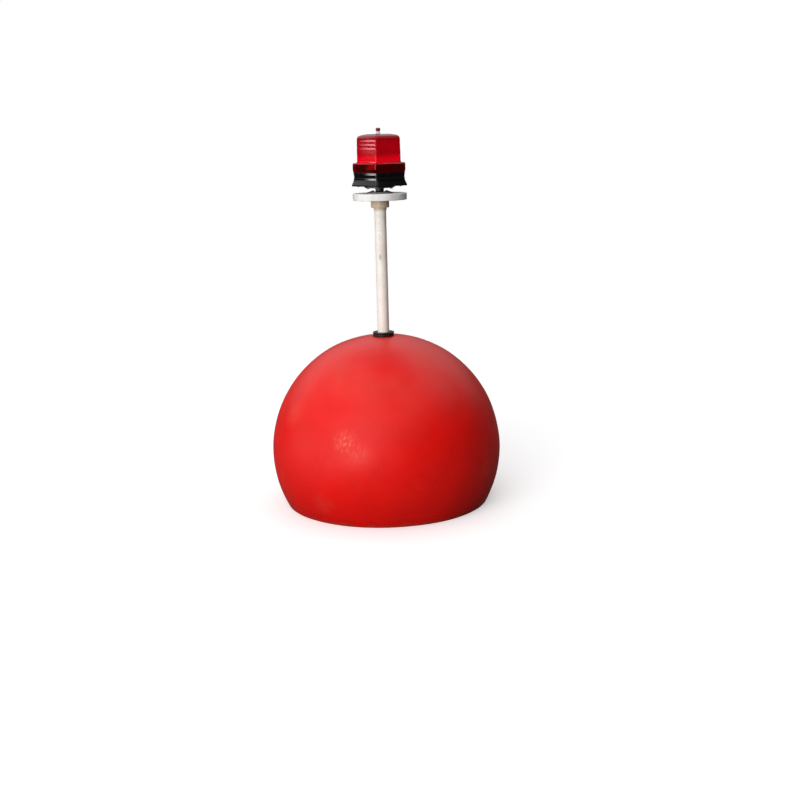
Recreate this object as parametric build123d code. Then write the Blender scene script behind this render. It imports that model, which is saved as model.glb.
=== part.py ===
from build123d import *
import os

os.makedirs("parts", exist_ok=True)

# A ball float buoy on a plastic pole, with a square solar warning lamp on top and iron ballast below.
# Sizes are in millimetres. The origin is on the buoy's axis at the waterline, +Z is up, -Y is the front.

# Float ball, a hollow moulding with a tube through its middle
BALL_DIA = 500
BALL_WALL = 7
BALL_CENTRE_Z = 115.5  # height of the ball's centre above the waterline
BALL_SEAT_DIA = 64  # flat moulded round each mouth of the tube
BALL_TUBE_WALL = 5

# Pole, one length of pressure pipe
PIPE_DIA = 25
PIPE_WALL = 2.3
POLE_TOP_Z = 656.5
SLIP_GAP = 0.1  # radial gap between a shaft and what is slid over it

# Rubber rings on the ball's two seats
RING_DIA = 46
RING_HEIGHT = 9
RING_EDGE = 2.5

# Ballast and the fittings under the ball
LOCK_COLLAR_DIA = 42
LOCK_COLLAR_HEIGHT = 20
BALLAST_DIA = 120
BALLAST_THICKNESS = 26
BALLAST_COUNT = 3
BALLAST_EDGE = 2
STOP_COLLAR_DIA = 46
STOP_COLLAR_HEIGHT = 14
CAP_WALL = 3.5
CAP_SOCKET = 20
CAP_END = 6
FITTING_EDGE = 1

# Mooring eye bolt
EYE_SHANK_DIA = 10
EYE_SHANK_LENGTH = 26  # above the cap's lower face
EYE_SHOULDER_DIA = 24
EYE_SHOULDER_HEIGHT = 6
EYE_HOLE_DIA = 20
EYE_WIRE_DIA = 10
EYE_SINK = 3  # how far the ring is forged into its shoulder

# Bow shackle that hangs from the eye
SHACKLE_WIRE_DIA = 8
SHACKLE_GAP = 17  # between the two arms
SHACKLE_REACH = 46  # from the pin's centre to the inside of the bow
SHACKLE_EAR_DIA = 18
SHACKLE_EAR_THICKNESS = 8
SHACKLE_PIN_DIA = 8
SHACKLE_PIN_GAP = 0.3  # between the pin and the eye that carries it
PIN_HEAD_DIA = 15
PIN_HEAD_THICKNESS = 5
PIN_TAIL = 3

# Fittings at the pole's head
BUSH_DIA = 27.5
BUSH_HEIGHT = 5.5
COLLAR_DIA = 39
COLLAR_SOCKET = 18  # how much of the pole the collar takes
COLLAR_END = 8
PLATE_DIA = 115
PLATE_RIM_HEIGHT = 14.5
PLATE_THICKNESS = 4.5
PLATE_RIM_WALL = 4
BOSS_FOOT_DIA = 54  # low cone moulded on the plate's middle
BOSS_TOP_DIA = 30
BOSS_HEIGHT = 2

# Winged foot, hexagonal post and seat disc that carry the lamp
FOOT_DISC_DIA = 28
FOOT_DISC_THICKNESS = 1.2
FOOT_WINGS = 2
WING_WIDTH = 9
WING_START = 12  # radius of a wing's steep inner end
WING_CREST = 3.5  # length of its level top
WING_REACH = 28  # radius of its tip
WING_HEIGHT = 3.5  # above the boss's top
WING_TIP_HEIGHT = 0.8  # above the plate's top
POST_FLATS = 17
POST_SIDES = 6
POST_HEIGHT = 7.5
STUD_DIA = 8
SEAT_DISC_INSET = 5.5  # between the disc's rim and the housing's inner wall
SEAT_DISC_THICKNESS = 4
SEAT_SCREWS = 4
SEAT_SCREW_RADIUS = 25
SEAT_SCREW_HEAD_DIA = 6.5
SEAT_SCREW_HEAD_HEIGHT = 2

# Lamp, square with rounded corners and turned so that a corner faces the front
LAMP_TURN = 38.7
LAMP_SIDES = 4
HOUSING_CORNER = 7
HOUSING_WALL = 3
WAIST_SIDE = 81
SKIRT_FLARE = 3.2  # how far the skirt's foot stands out from the waist
SKIRT_RIM_HEIGHT = 2.5
SKIRT_KNEE_FLARE = 1  # how far it stands out where the flare turns from steep to shallow
SKIRT_KNEE_HEIGHT = 9.2
SKIRT_HEIGHT = 14.3
LOWER_BAND_HEIGHT = 4.6
GROOVE_HEIGHT = 3.5
GROOVE_DEPTH = 0.6
UPPER_BAND_HEIGHT = 5.9
BASE_PLATE_THICKNESS = 3

# Tinted cover above the housing, with a solar panel behind each side
COVER_LIP = 0.1  # how far the cover's foot stands out from the waist
COVER_FLARE = 1.1  # how much further it stands out above its foot
COVER_FOOT_HEIGHT = 7  # how far up the cover widens
COVER_HEIGHT = 20
COVER_EDGE = 2  # sloped edge round its top
COVER_WALL = 2.2
PANEL_LENGTH = 60
PANEL_THICKNESS = 1.6
PANEL_GAP = 0.3  # between a panel's face and the cover's wall at its foot

# Lens, with stepped ribs round its upper half
LENS_CORNER = 5
LENS_FLANGE_SIDE = 68.8
LENS_FLANGE_HEIGHT = 3
LENS_SIDE = 67.5
LENS_DRAFT = 1.6  # how much narrower the highest rib is than the foot
LENS_PLAIN_HEIGHT = 14.5
LENS_RIB_COUNT = 4
LENS_RIB_PITCH = 8.2
LENS_RIB_STEP = 0.35
LENS_SHOULDER_SIDE = 61.2
LENS_SHOULDER_HEIGHT = 4.3  # above the highest rib
LENS_EAVES_SIDE = 54
LENS_EAVES_HEIGHT = 6.4
LENS_ROOF_SIDE = 37
LENS_CROWN_HEIGHT = 8.5
LENS_WALL = 2.5
STEM_FOOT_DIA = 13
STEM_DIA = 6.4
STEM_HEIGHT = 5.7
KNOB_DIA = 9.8
KNOB_HEIGHT = 7
KNOB_EDGE = 1

# Light source inside the lens
COLUMN_SIDE = 20
COLUMN_HEIGHT = 40
LED_DIA = 5
LED_HEIGHT = 3
LED_ROWS = 3
LED_PITCH = 11

# Heights and radii that follow from the sizes
SEAT_RISE = ((BALL_DIA / 2) ** 2 - (BALL_SEAT_DIA / 2) ** 2) ** 0.5
BALL_TOP_Z = BALL_CENTRE_Z + SEAT_RISE
BALL_BOTTOM_Z = BALL_CENTRE_Z - SEAT_RISE
SHAFT_HOLE_DIA = PIPE_DIA + 2 * SLIP_GAP

LOCK_COLLAR_TOP = BALL_BOTTOM_Z - RING_HEIGHT
BALLAST_TOP = LOCK_COLLAR_TOP - LOCK_COLLAR_HEIGHT
STOP_COLLAR_TOP = BALLAST_TOP - BALLAST_COUNT * BALLAST_THICKNESS
CAP_TOP = STOP_COLLAR_TOP - STOP_COLLAR_HEIGHT
PIPE_BOTTOM_Z = CAP_TOP - CAP_SOCKET
CAP_BOTTOM = PIPE_BOTTOM_Z - CAP_END
CAP_DIA = SHAFT_HOLE_DIA + 2 * CAP_WALL

EYE_RING_RADIUS = (EYE_HOLE_DIA + EYE_WIRE_DIA) / 2
EYE_CENTRE_Z = CAP_BOTTOM - EYE_SHOULDER_HEIGHT + EYE_SINK - EYE_RING_RADIUS - EYE_WIRE_DIA / 2
PIN_CENTRE_Z = EYE_CENTRE_Z - EYE_HOLE_DIA / 2 + SHACKLE_PIN_DIA / 2 + SHACKLE_PIN_GAP
ARM_CENTRE_X = SHACKLE_GAP / 2 + SHACKLE_EAR_THICKNESS / 2
BOW_RADIUS = ARM_CENTRE_X
BOW_CENTRE_Z = PIN_CENTRE_Z - SHACKLE_REACH + BOW_RADIUS - SHACKLE_WIRE_DIA / 2

COLLAR_BOTTOM = POLE_TOP_Z - COLLAR_SOCKET
COLLAR_TOP = POLE_TOP_Z + COLLAR_END
PLATE_TOP = COLLAR_TOP + PLATE_THICKNESS
BOSS_TOP = PLATE_TOP + BOSS_HEIGHT
FOOT_DISC_TOP = BOSS_TOP + FOOT_DISC_THICKNESS
POST_TOP = FOOT_DISC_TOP + POST_HEIGHT
STUD_HOLE_DIA = STUD_DIA + 2 * SLIP_GAP
HOUSING_BOTTOM = POST_TOP + SEAT_DISC_THICKNESS
HOUSING_INSIDE = WAIST_SIDE - 2 * HOUSING_WALL
SKIRT_SIDE = WAIST_SIDE + 2 * SKIRT_FLARE
SKIRT_KNEE_SIDE = WAIST_SIDE + 2 * SKIRT_KNEE_FLARE
COVER_FOOT_SIDE = WAIST_SIDE + 2 * COVER_LIP
COVER_SIDE = COVER_FOOT_SIDE + 2 * COVER_FLARE
SEAT_DISC_DIA = HOUSING_INSIDE - 2 * SEAT_DISC_INSET
SKIRT_TOP = HOUSING_BOTTOM + SKIRT_HEIGHT
GROOVE_BOTTOM = SKIRT_TOP + LOWER_BAND_HEIGHT
GROOVE_TOP = GROOVE_BOTTOM + GROOVE_HEIGHT
HOUSING_TOP = GROOVE_TOP + UPPER_BAND_HEIGHT
COVER_TOP = HOUSING_TOP + COVER_HEIGHT
PANEL_HEIGHT = COVER_HEIGHT - COVER_WALL
PANEL_FACE = COVER_FOOT_SIDE / 2 - COVER_WALL - PANEL_GAP
FRAME_SIDE = 2 * (PANEL_FACE - PANEL_THICKNESS)
LENS_RIB_BOTTOM = COVER_TOP + LENS_FLANGE_HEIGHT + LENS_PLAIN_HEIGHT
LENS_CROWN_BOTTOM = LENS_RIB_BOTTOM + LENS_RIB_COUNT * LENS_RIB_PITCH
LENS_TOP = LENS_CROWN_BOTTOM + LENS_CROWN_HEIGHT
STEM_TOP = LENS_TOP + STEM_HEIGHT
LOWEST = (Align.CENTER, Align.CENTER, Align.MIN)  # a solid that stands on its given height


def save(name, shape):
    shape.label = name
    export_step(shape, f"parts/{name}.step")


def disc(diameter, bottom, top):
    """A solid round bar on the axis between two heights."""
    return Pos(0, 0, bottom) * Cylinder(diameter / 2, top - bottom, align=LOWEST)


def tube(outer, inner, bottom, top):
    return disc(outer, bottom, top) - disc(inner, bottom, top)


def eased_tube(outer, inner, bottom, top, edge):
    """A tube with its outer corners rounded."""
    bar = disc(outer, bottom, top)
    rims = bar.edges().filter_by(GeomType.CIRCLE)
    return fillet(rims, edge) - disc(inner, bottom, top)


def square(side, corner, height):
    """A rounded square section at one height."""
    return Pos(0, 0, height) * RectangleRounded(side, side, corner)


def tower(sections, corner):
    """A solid through (side, height) sections from the bottom up, straight between each two."""
    spans = [
        loft([square(side, corner, z), square(next_side, corner, next_z)], ruled=True)
        for (side, z), (next_side, next_z) in zip(sections, sections[1:])
        if next_z > z
    ]
    return Solid.fuse(*[span.solid() for span in spans])


def turned(shape):
    """The lamp's own frame has its sides along X and Y. This turns it to its place."""
    return Rot(0, 0, LAMP_TURN) * shape


def towards_corner(shape):
    """Turns what lies along X to point at a corner of the lamp."""
    return Rot(0, 0, LAMP_TURN - 180 / LAMP_SIDES) * shape


def around(count, shape):
    return [Rot(0, 0, 360 / count * i) * shape for i in range(count)]


def float_ball():
    flats = disc(BALL_DIA, BALL_BOTTOM_Z, BALL_TOP_Z)
    outside = (Pos(0, 0, BALL_CENTRE_Z) * Sphere(BALL_DIA / 2)) & flats
    inside = Pos(0, 0, BALL_CENTRE_Z) * Sphere(BALL_DIA / 2 - BALL_WALL)
    tube_dia = SHAFT_HOLE_DIA + 2 * BALL_TUBE_WALL
    cavity = inside - disc(tube_dia, BALL_BOTTOM_Z, BALL_TOP_Z)
    return outside - cavity - disc(SHAFT_HOLE_DIA, BALL_BOTTOM_Z, BALL_TOP_Z)


def pole_pipe():
    return tube(PIPE_DIA, PIPE_DIA - 2 * PIPE_WALL, PIPE_BOTTOM_Z, POLE_TOP_Z)


def ballast_disc(top):
    return eased_tube(BALLAST_DIA, SHAFT_HOLE_DIA, top - BALLAST_THICKNESS, top, BALLAST_EDGE)


def pole_end_cap():
    cup = eased_tube(CAP_DIA, EYE_SHANK_DIA + 2 * SLIP_GAP, CAP_BOTTOM, CAP_TOP, FITTING_EDGE)
    return cup - disc(SHAFT_HOLE_DIA, PIPE_BOTTOM_Z, CAP_TOP)


def mooring_eye():
    shoulder_bottom = CAP_BOTTOM - EYE_SHOULDER_HEIGHT
    shank = disc(EYE_SHANK_DIA, CAP_BOTTOM, CAP_BOTTOM + EYE_SHANK_LENGTH)
    shoulder = disc(EYE_SHOULDER_DIA, shoulder_bottom, CAP_BOTTOM)
    ring = Pos(0, 0, EYE_CENTRE_Z) * Rot(0, 90, 0) * Torus(EYE_RING_RADIUS, EYE_WIRE_DIA / 2)
    return shank + shoulder + ring


def mooring_shackle():
    bow = Pos(0, 0, BOW_CENTRE_Z) * Rot(90, 0, 0) * Torus(BOW_RADIUS, SHACKLE_WIRE_DIA / 2)
    bow_width = 2 * BOW_RADIUS + SHACKLE_WIRE_DIA
    lower_half = Pos(0, 0, BOW_CENTRE_Z) * Box(
        bow_width, bow_width, bow_width, align=(Align.CENTER, Align.CENTER, Align.MAX)
    )
    shape = bow & lower_half
    arm_length = PIN_CENTRE_Z - BOW_CENTRE_Z
    for side in (-1, 1):
        arm = Pos(side * ARM_CENTRE_X, 0, BOW_CENTRE_Z) * Cylinder(
            SHACKLE_WIRE_DIA / 2, arm_length, align=LOWEST
        )
        ear = Pos(side * ARM_CENTRE_X, 0, PIN_CENTRE_Z) * Rot(0, 90, 0) * Cylinder(
            SHACKLE_EAR_DIA / 2, SHACKLE_EAR_THICKNESS
        )
        shape += arm + ear
    pin_hole = Pos(0, 0, PIN_CENTRE_Z) * Rot(0, 90, 0) * Cylinder(SHACKLE_PIN_DIA / 2 + SLIP_GAP, bow_width)
    return shape - pin_hole


def shackle_pin():
    """The pin lies along X, its head on +X and its rounded tail past the other ear."""
    ear_face = ARM_CENTRE_X + SHACKLE_EAR_THICKNESS / 2
    along_x = Pos(-ear_face - PIN_TAIL, 0, PIN_CENTRE_Z) * Rot(0, 90, 0)
    on_ear = Pos(ear_face, 0, PIN_CENTRE_Z) * Rot(0, 90, 0)
    shank = along_x * Cylinder(SHACKLE_PIN_DIA / 2, 2 * ear_face + PIN_TAIL, align=LOWEST)
    head = on_ear * Cylinder(PIN_HEAD_DIA / 2, PIN_HEAD_THICKNESS, align=LOWEST)
    return shank + head


def head_bush():
    return eased_tube(BUSH_DIA, SHAFT_HOLE_DIA, COLLAR_BOTTOM - BUSH_HEIGHT, COLLAR_BOTTOM, FITTING_EDGE)


def head_collar():
    collar = eased_tube(COLLAR_DIA, STUD_HOLE_DIA, COLLAR_BOTTOM, COLLAR_TOP, FITTING_EDGE)
    return collar - disc(SHAFT_HOLE_DIA, COLLAR_BOTTOM, POLE_TOP_Z)


def lamp_plate():
    """A round plate with a rim that hangs down, and a low boss on its middle."""
    rim_bottom = PLATE_TOP - PLATE_RIM_HEIGHT
    plate = eased_tube(PLATE_DIA, STUD_HOLE_DIA, rim_bottom, PLATE_TOP, FITTING_EDGE)
    boss = Pos(0, 0, PLATE_TOP) * Cone(BOSS_FOOT_DIA / 2, BOSS_TOP_DIA / 2, BOSS_HEIGHT, align=LOWEST)
    recess = disc(PLATE_DIA - 2 * PLATE_RIM_WALL, rim_bottom, COLLAR_TOP)
    return plate + boss - recess - disc(STUD_HOLE_DIA, COLLAR_TOP, BOSS_TOP)


def lamp_foot():
    """A thin disc on the boss, with wings that slope down the boss to the plate."""
    side_view = Polyline(
        (WING_START, BOSS_TOP + WING_HEIGHT),
        (WING_START + WING_CREST, BOSS_TOP + WING_HEIGHT),
        (WING_REACH, PLATE_TOP + WING_TIP_HEIGHT),
        (WING_REACH, PLATE_TOP),
        (BOSS_FOOT_DIA / 2, PLATE_TOP),
        (BOSS_TOP_DIA / 2, BOSS_TOP),
        (WING_START, BOSS_TOP),
        close=True,
    )
    wing = extrude(Plane.XZ * make_face(side_view), WING_WIDTH / 2, both=True)
    foot = disc(FOOT_DISC_DIA, BOSS_TOP, FOOT_DISC_TOP)
    for copy in around(FOOT_WINGS, wing):
        foot += copy
    return towards_corner(foot - disc(STUD_HOLE_DIA, BOSS_TOP, FOOT_DISC_TOP))


def lamp_post():
    """A hexagonal post, and the stud that goes down from it through the foot, the plate and the collar."""
    section = Pos(0, 0, FOOT_DISC_TOP) * RegularPolygon(POST_FLATS / 2, POST_SIDES, major_radius=False)
    return extrude(section, POST_HEIGHT) + disc(STUD_DIA, POLE_TOP_Z, FOOT_DISC_TOP)


def lamp_seat_disc():
    return eased_tube(SEAT_DISC_DIA, STUD_DIA, POST_TOP, HOUSING_BOTTOM, FITTING_EDGE)


def seat_screws():
    """Screw heads under the seat disc, one towards each corner of the lamp."""
    head = Pos(SEAT_SCREW_RADIUS, 0, 0) * disc(
        SEAT_SCREW_HEAD_DIA, POST_TOP - SEAT_SCREW_HEAD_HEIGHT, POST_TOP
    )
    return towards_corner(Compound(around(SEAT_SCREWS, head)))


def lamp_housing():
    """A flared skirt, then an upright wall with a shallow groove round it."""
    groove_side = WAIST_SIDE - 2 * GROOVE_DEPTH
    sections = [
        (SKIRT_SIDE, HOUSING_BOTTOM),
        (SKIRT_SIDE, HOUSING_BOTTOM + SKIRT_RIM_HEIGHT),
        (SKIRT_KNEE_SIDE, HOUSING_BOTTOM + SKIRT_KNEE_HEIGHT),
        (WAIST_SIDE, SKIRT_TOP),
        (WAIST_SIDE, GROOVE_BOTTOM),
        (groove_side, GROOVE_BOTTOM + GROOVE_DEPTH),
        (groove_side, GROOVE_TOP - GROOVE_DEPTH),
        (WAIST_SIDE, GROOVE_TOP),
        (WAIST_SIDE, HOUSING_TOP),
    ]
    outside = tower(sections, HOUSING_CORNER)
    cavity = tower(
        [(HOUSING_INSIDE, HOUSING_BOTTOM), (HOUSING_INSIDE, HOUSING_TOP - HOUSING_WALL)],
        HOUSING_CORNER - HOUSING_WALL,
    )
    return turned(outside - cavity)


def lamp_base_plate():
    corner = HOUSING_CORNER - HOUSING_WALL
    sections = [(HOUSING_INSIDE, HOUSING_BOTTOM), (HOUSING_INSIDE, HOUSING_BOTTOM + BASE_PLATE_THICKNESS)]
    return turned(tower(sections, corner))


def tinted_cover():
    """A cover that widens from the housing, stands upright and slopes in at its top edge."""
    wide_z = HOUSING_TOP + COVER_FOOT_HEIGHT
    outside = tower(
        [
            (COVER_FOOT_SIDE, HOUSING_TOP),
            (COVER_SIDE, wide_z),
            (COVER_SIDE, COVER_TOP - COVER_EDGE),
            (COVER_SIDE - 2 * COVER_EDGE, COVER_TOP),
        ],
        HOUSING_CORNER,
    )
    inside = tower(
        [
            (COVER_FOOT_SIDE - 2 * COVER_WALL, HOUSING_TOP),
            (COVER_SIDE - 2 * COVER_WALL, wide_z),
            (COVER_SIDE - 2 * COVER_WALL, COVER_TOP - COVER_WALL),
        ],
        HOUSING_CORNER - COVER_WALL,
    )
    mouth_side = LENS_SIDE - 2 * LENS_WALL
    mouth = tower([(mouth_side, COVER_TOP - COVER_WALL), (mouth_side, COVER_TOP)], LENS_CORNER)
    return turned(outside - inside - mouth)


def solar_panel(index):
    panel = Pos(PANEL_FACE, 0, HOUSING_TOP) * Box(
        PANEL_THICKNESS, PANEL_LENGTH, PANEL_HEIGHT, align=(Align.MAX, Align.CENTER, Align.MIN)
    )
    return turned(Rot(0, 0, 360 / LAMP_SIDES * index) * panel)


def panel_frame():
    return turned(Pos(0, 0, HOUSING_TOP) * Box(FRAME_SIDE, FRAME_SIDE, PANEL_HEIGHT, align=LOWEST))


def light_column():
    foot = Pos(0, 0, HOUSING_TOP + PANEL_HEIGHT)
    return turned(foot * Box(COLUMN_SIDE, COLUMN_SIDE, COLUMN_HEIGHT, align=LOWEST))


def light_bulbs():
    """Domed light-emitting diodes in rows on the column's four sides."""
    middle = HOUSING_TOP + PANEL_HEIGHT + COLUMN_HEIGHT / 2
    stalk = Cylinder(LED_DIA / 2, LED_HEIGHT, align=LOWEST)
    dome = Pos(0, 0, LED_HEIGHT) * Sphere(LED_DIA / 2)
    bulb = Rot(0, 90, 0) * (stalk + dome)
    bulbs = []
    for row in range(LED_ROWS):
        height = middle + (row - (LED_ROWS - 1) / 2) * LED_PITCH
        bulbs += around(LAMP_SIDES, Pos(COLUMN_SIDE / 2, 0, height) * bulb)
    return turned(Compound(bulbs))


def lamp_lens():
    """A hollow square lens with stepped ribs, a rounded shoulder and a shallow roof."""
    plain_bottom = COVER_TOP + LENS_FLANGE_HEIGHT
    rib_narrowing = LENS_DRAFT / LENS_RIB_COUNT
    outside = tower([(LENS_FLANGE_SIDE, COVER_TOP), (LENS_FLANGE_SIDE, plain_bottom)], LENS_CORNER)
    outside += tower(
        [(LENS_SIDE, plain_bottom), (LENS_SIDE - rib_narrowing, LENS_RIB_BOTTOM)], LENS_CORNER
    )
    for rib in range(LENS_RIB_COUNT):
        bottom = LENS_RIB_BOTTOM + rib * LENS_RIB_PITCH
        foot_side = LENS_SIDE - rib_narrowing * (rib + 1)
        head_side = foot_side - 2 * LENS_RIB_STEP
        outside += tower([(foot_side, bottom), (head_side, bottom + LENS_RIB_PITCH)], LENS_CORNER)
    eaves_z = LENS_CROWN_BOTTOM + LENS_EAVES_HEIGHT
    outside += tower(
        [
            (LENS_SIDE - LENS_DRAFT - 2 * LENS_RIB_STEP, LENS_CROWN_BOTTOM),
            (LENS_SHOULDER_SIDE, LENS_CROWN_BOTTOM + LENS_SHOULDER_HEIGHT),
            (LENS_EAVES_SIDE, eaves_z),
            (LENS_ROOF_SIDE, LENS_TOP),
        ],
        LENS_CORNER,
    )
    inside = tower(
        [
            (LENS_SIDE - 2 * LENS_WALL, COVER_TOP),
            (LENS_SHOULDER_SIDE - 2 * LENS_WALL, LENS_CROWN_BOTTOM),
            (LENS_EAVES_SIDE - 2 * LENS_WALL, eaves_z - LENS_WALL),
            (LENS_ROOF_SIDE - 2 * LENS_WALL, LENS_TOP - LENS_WALL),
        ],
        LENS_CORNER - LENS_WALL,
    )
    return turned(outside - inside)


def lens_stem():
    return Pos(0, 0, LENS_TOP) * Cone(STEM_FOOT_DIA / 2, STEM_DIA / 2, STEM_HEIGHT, align=LOWEST)


def lens_knob():
    knob = disc(KNOB_DIA, STEM_TOP, STEM_TOP + KNOB_HEIGHT)
    return fillet(knob.edges().filter_by(GeomType.CIRCLE), KNOB_EDGE)


save("float_ball", float_ball())
save("pole_pipe", pole_pipe())
save("top_seal_ring", eased_tube(RING_DIA, SHAFT_HOLE_DIA, BALL_TOP_Z, BALL_TOP_Z + RING_HEIGHT, RING_EDGE))
save("bottom_seal_ring", eased_tube(RING_DIA, SHAFT_HOLE_DIA, LOCK_COLLAR_TOP, BALL_BOTTOM_Z, RING_EDGE))
save("lock_collar", eased_tube(LOCK_COLLAR_DIA, SHAFT_HOLE_DIA, BALLAST_TOP, LOCK_COLLAR_TOP, FITTING_EDGE))
for number in range(BALLAST_COUNT):
    save(f"ballast_disc_{number + 1}", ballast_disc(BALLAST_TOP - number * BALLAST_THICKNESS))
save("stop_collar", eased_tube(STOP_COLLAR_DIA, SHAFT_HOLE_DIA, CAP_TOP, STOP_COLLAR_TOP, FITTING_EDGE))
save("pole_end_cap", pole_end_cap())
save("mooring_eye", mooring_eye())
save("mooring_shackle", mooring_shackle())
save("shackle_pin", shackle_pin())
save("head_bush", head_bush())
save("head_collar", head_collar())
save("lamp_plate", lamp_plate())
save("lamp_foot", lamp_foot())
save("lamp_post", lamp_post())
save("lamp_seat_disc", lamp_seat_disc())
save("seat_screws", seat_screws())
save("lamp_housing", lamp_housing())
save("lamp_base_plate", lamp_base_plate())
save("tinted_cover", tinted_cover())
for number in range(LAMP_SIDES):
    save(f"solar_panel_{number + 1}", solar_panel(number))
save("panel_frame", panel_frame())
save("light_column", light_column())
save("light_bulbs", light_bulbs())
save("lamp_lens", lamp_lens())
save("lens_stem", lens_stem())
save("lens_knob", lens_knob())
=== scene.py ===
import math

import bmesh
import bpy
from mathutils import Matrix, Vector, noise


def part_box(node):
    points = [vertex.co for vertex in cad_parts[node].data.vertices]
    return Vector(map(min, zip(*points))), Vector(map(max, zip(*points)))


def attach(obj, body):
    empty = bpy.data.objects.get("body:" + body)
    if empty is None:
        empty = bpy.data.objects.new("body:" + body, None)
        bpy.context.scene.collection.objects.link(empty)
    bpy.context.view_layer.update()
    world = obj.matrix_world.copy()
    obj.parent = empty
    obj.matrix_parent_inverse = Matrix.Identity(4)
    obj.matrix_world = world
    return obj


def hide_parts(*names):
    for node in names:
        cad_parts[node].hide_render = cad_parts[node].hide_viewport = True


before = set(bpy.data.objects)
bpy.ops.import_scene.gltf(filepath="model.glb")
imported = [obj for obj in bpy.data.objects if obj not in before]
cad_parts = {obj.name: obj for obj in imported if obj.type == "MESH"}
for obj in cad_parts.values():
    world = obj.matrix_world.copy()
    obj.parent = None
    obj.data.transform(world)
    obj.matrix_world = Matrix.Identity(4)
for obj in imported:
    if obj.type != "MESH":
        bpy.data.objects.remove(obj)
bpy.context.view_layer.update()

bl_info = {
    "name": "Navigation buoy",
    "version": (1, 0, 0),
    "blender": (4, 5, 0),
    "location": "3D View > Sidebar > Buoy",
    "description": "Builds the visible pieces and finishes of a ball float buoy with a solar lamp",
    "category": "Object",
}

MM = 0.001
BUOY = "buoy"
SHACKLE = "shackle"
LAMP_SIDES = 4
BALL_STEPS = 140
# Gap between the lamp's closed pieces, so that their faces don't lie in one plane
SEAM = 0.05 * MM
# Rounds of small edges, from the finest that a mould leaves to a full one
FINE, CRISP, EASED, SOFT, FULL = (size * MM for size in (0.2, 0.3, 0.5, 0.8, 1))


# Properties

def linear(code):
    """The linear colour of an sRGB hex code."""
    channels = []
    for start in (0, 2, 4):
        value = int(code[start:start + 2], 16) / 255
        channels.append(value / 12.92 if value <= 0.04045 else ((value + 0.055) / 1.055) ** 2.4)
    return (*channels, 1.0)


def length(millimetres, description):
    """A length that is given in millimetres and kept in metres."""
    return bpy.props.FloatProperty(
        description=description, default=millimetres * MM, precision=5, unit="LENGTH", subtype="DISTANCE"
    )


def angle(degrees, description):
    """An angle that is given in degrees and kept in radians."""
    return bpy.props.FloatProperty(
        description=description, default=math.radians(degrees), unit="ROTATION", subtype="ANGLE"
    )


def colour(code, description):
    """A colour that is given as an sRGB hex code and kept linear."""
    return bpy.props.FloatVectorProperty(
        description=description, default=linear(code), size=4, min=0.0, max=1.0, subtype="COLOR"
    )


def location(place, description):
    """A place in metres."""
    return bpy.props.FloatVectorProperty(
        description=description, default=place, unit="LENGTH", subtype="TRANSLATION"
    )


def count(number, description):
    """A whole number of things."""
    return bpy.props.IntProperty(description=description, default=number, min=1)


def amount(value, description):
    """A number without a unit."""
    return bpy.props.FloatProperty(description=description, default=value, min=0.0)


def named(group):
    """Names each of a group's properties after its attribute."""
    for attribute, made in group.__annotations__.items():
        made.keywords["name"] = attribute.replace("_", " ").capitalize()
    return group


@named
class BallSettings(bpy.types.PropertyGroup):
    """The float ball."""
    diameter: length(500, "Outer diameter of the ball")
    bore: length(25.2, "Diameter of the tube through the ball")
    seat: length(64, "Diameter of the flat round each mouth of the tube")
    seat_ease: length(60, "Radius between a flat and the round of the ball")
    lip: length(1.5, "Round of the bore's mouths")
    unevenness: length(1.1, "How far the thick skin cooled out of true")
    even_zone: length(60, "Width round a flat over which the unevenness grows to its full")
    waves: amount(7, "Broad waves of the skin in a metre")
    ripples: amount(19, "Narrow waves of the skin in a metre")
    red: colour("D7100A", "Plastic where it is fresh")
    deep_red: colour("CF0E09", "Darker streaks of pigment")
    # This lighter red is painted sheen over the ball's upper part as well as chalk on worn and scraped spots
    chalk_and_sheen_red: colour("DC4A40", "Plastic that the sun has chalked")
    scuff_pink: colour("EE7A62", "Plastic where it is scraped")
    scum: colour("5C4A34", "Thin line at the waterline")
    weed: colour("3A3A1C", "Growth below the waterline")


@named
class PoleSettings(bpy.types.PropertyGroup):
    """The pole."""
    bore: length(20.4, "Inner diameter of the pipe")
    chamfer: length(0.8, "Ease of the pipe's sawn ends")
    white: colour("E6E2DC", "Pipe where it is clean")
    weathered: colour("DBD2C4", "Pipe where it has yellowed")
    bead: length(0.45, "Half the thickness of the bead of cement under the bush")
    bead_level: length(625, "Height of that bead")
    grime: colour("CFC4B2", "Dirt on the pipe")
    ink: colour("8F8C8A", "Line of print along the pipe")
    print_aside: length(2.6, "How far left of the middle the print runs")
    print_foot: length(545, "Height at which the print begins")
    print_head: length(632, "Height at which the print ends")
    spot: colour("77736E", "Dark spot under the print")
    spot_place: location((-0.0022, -0.012, 0.535), "Where that spot is")


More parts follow.
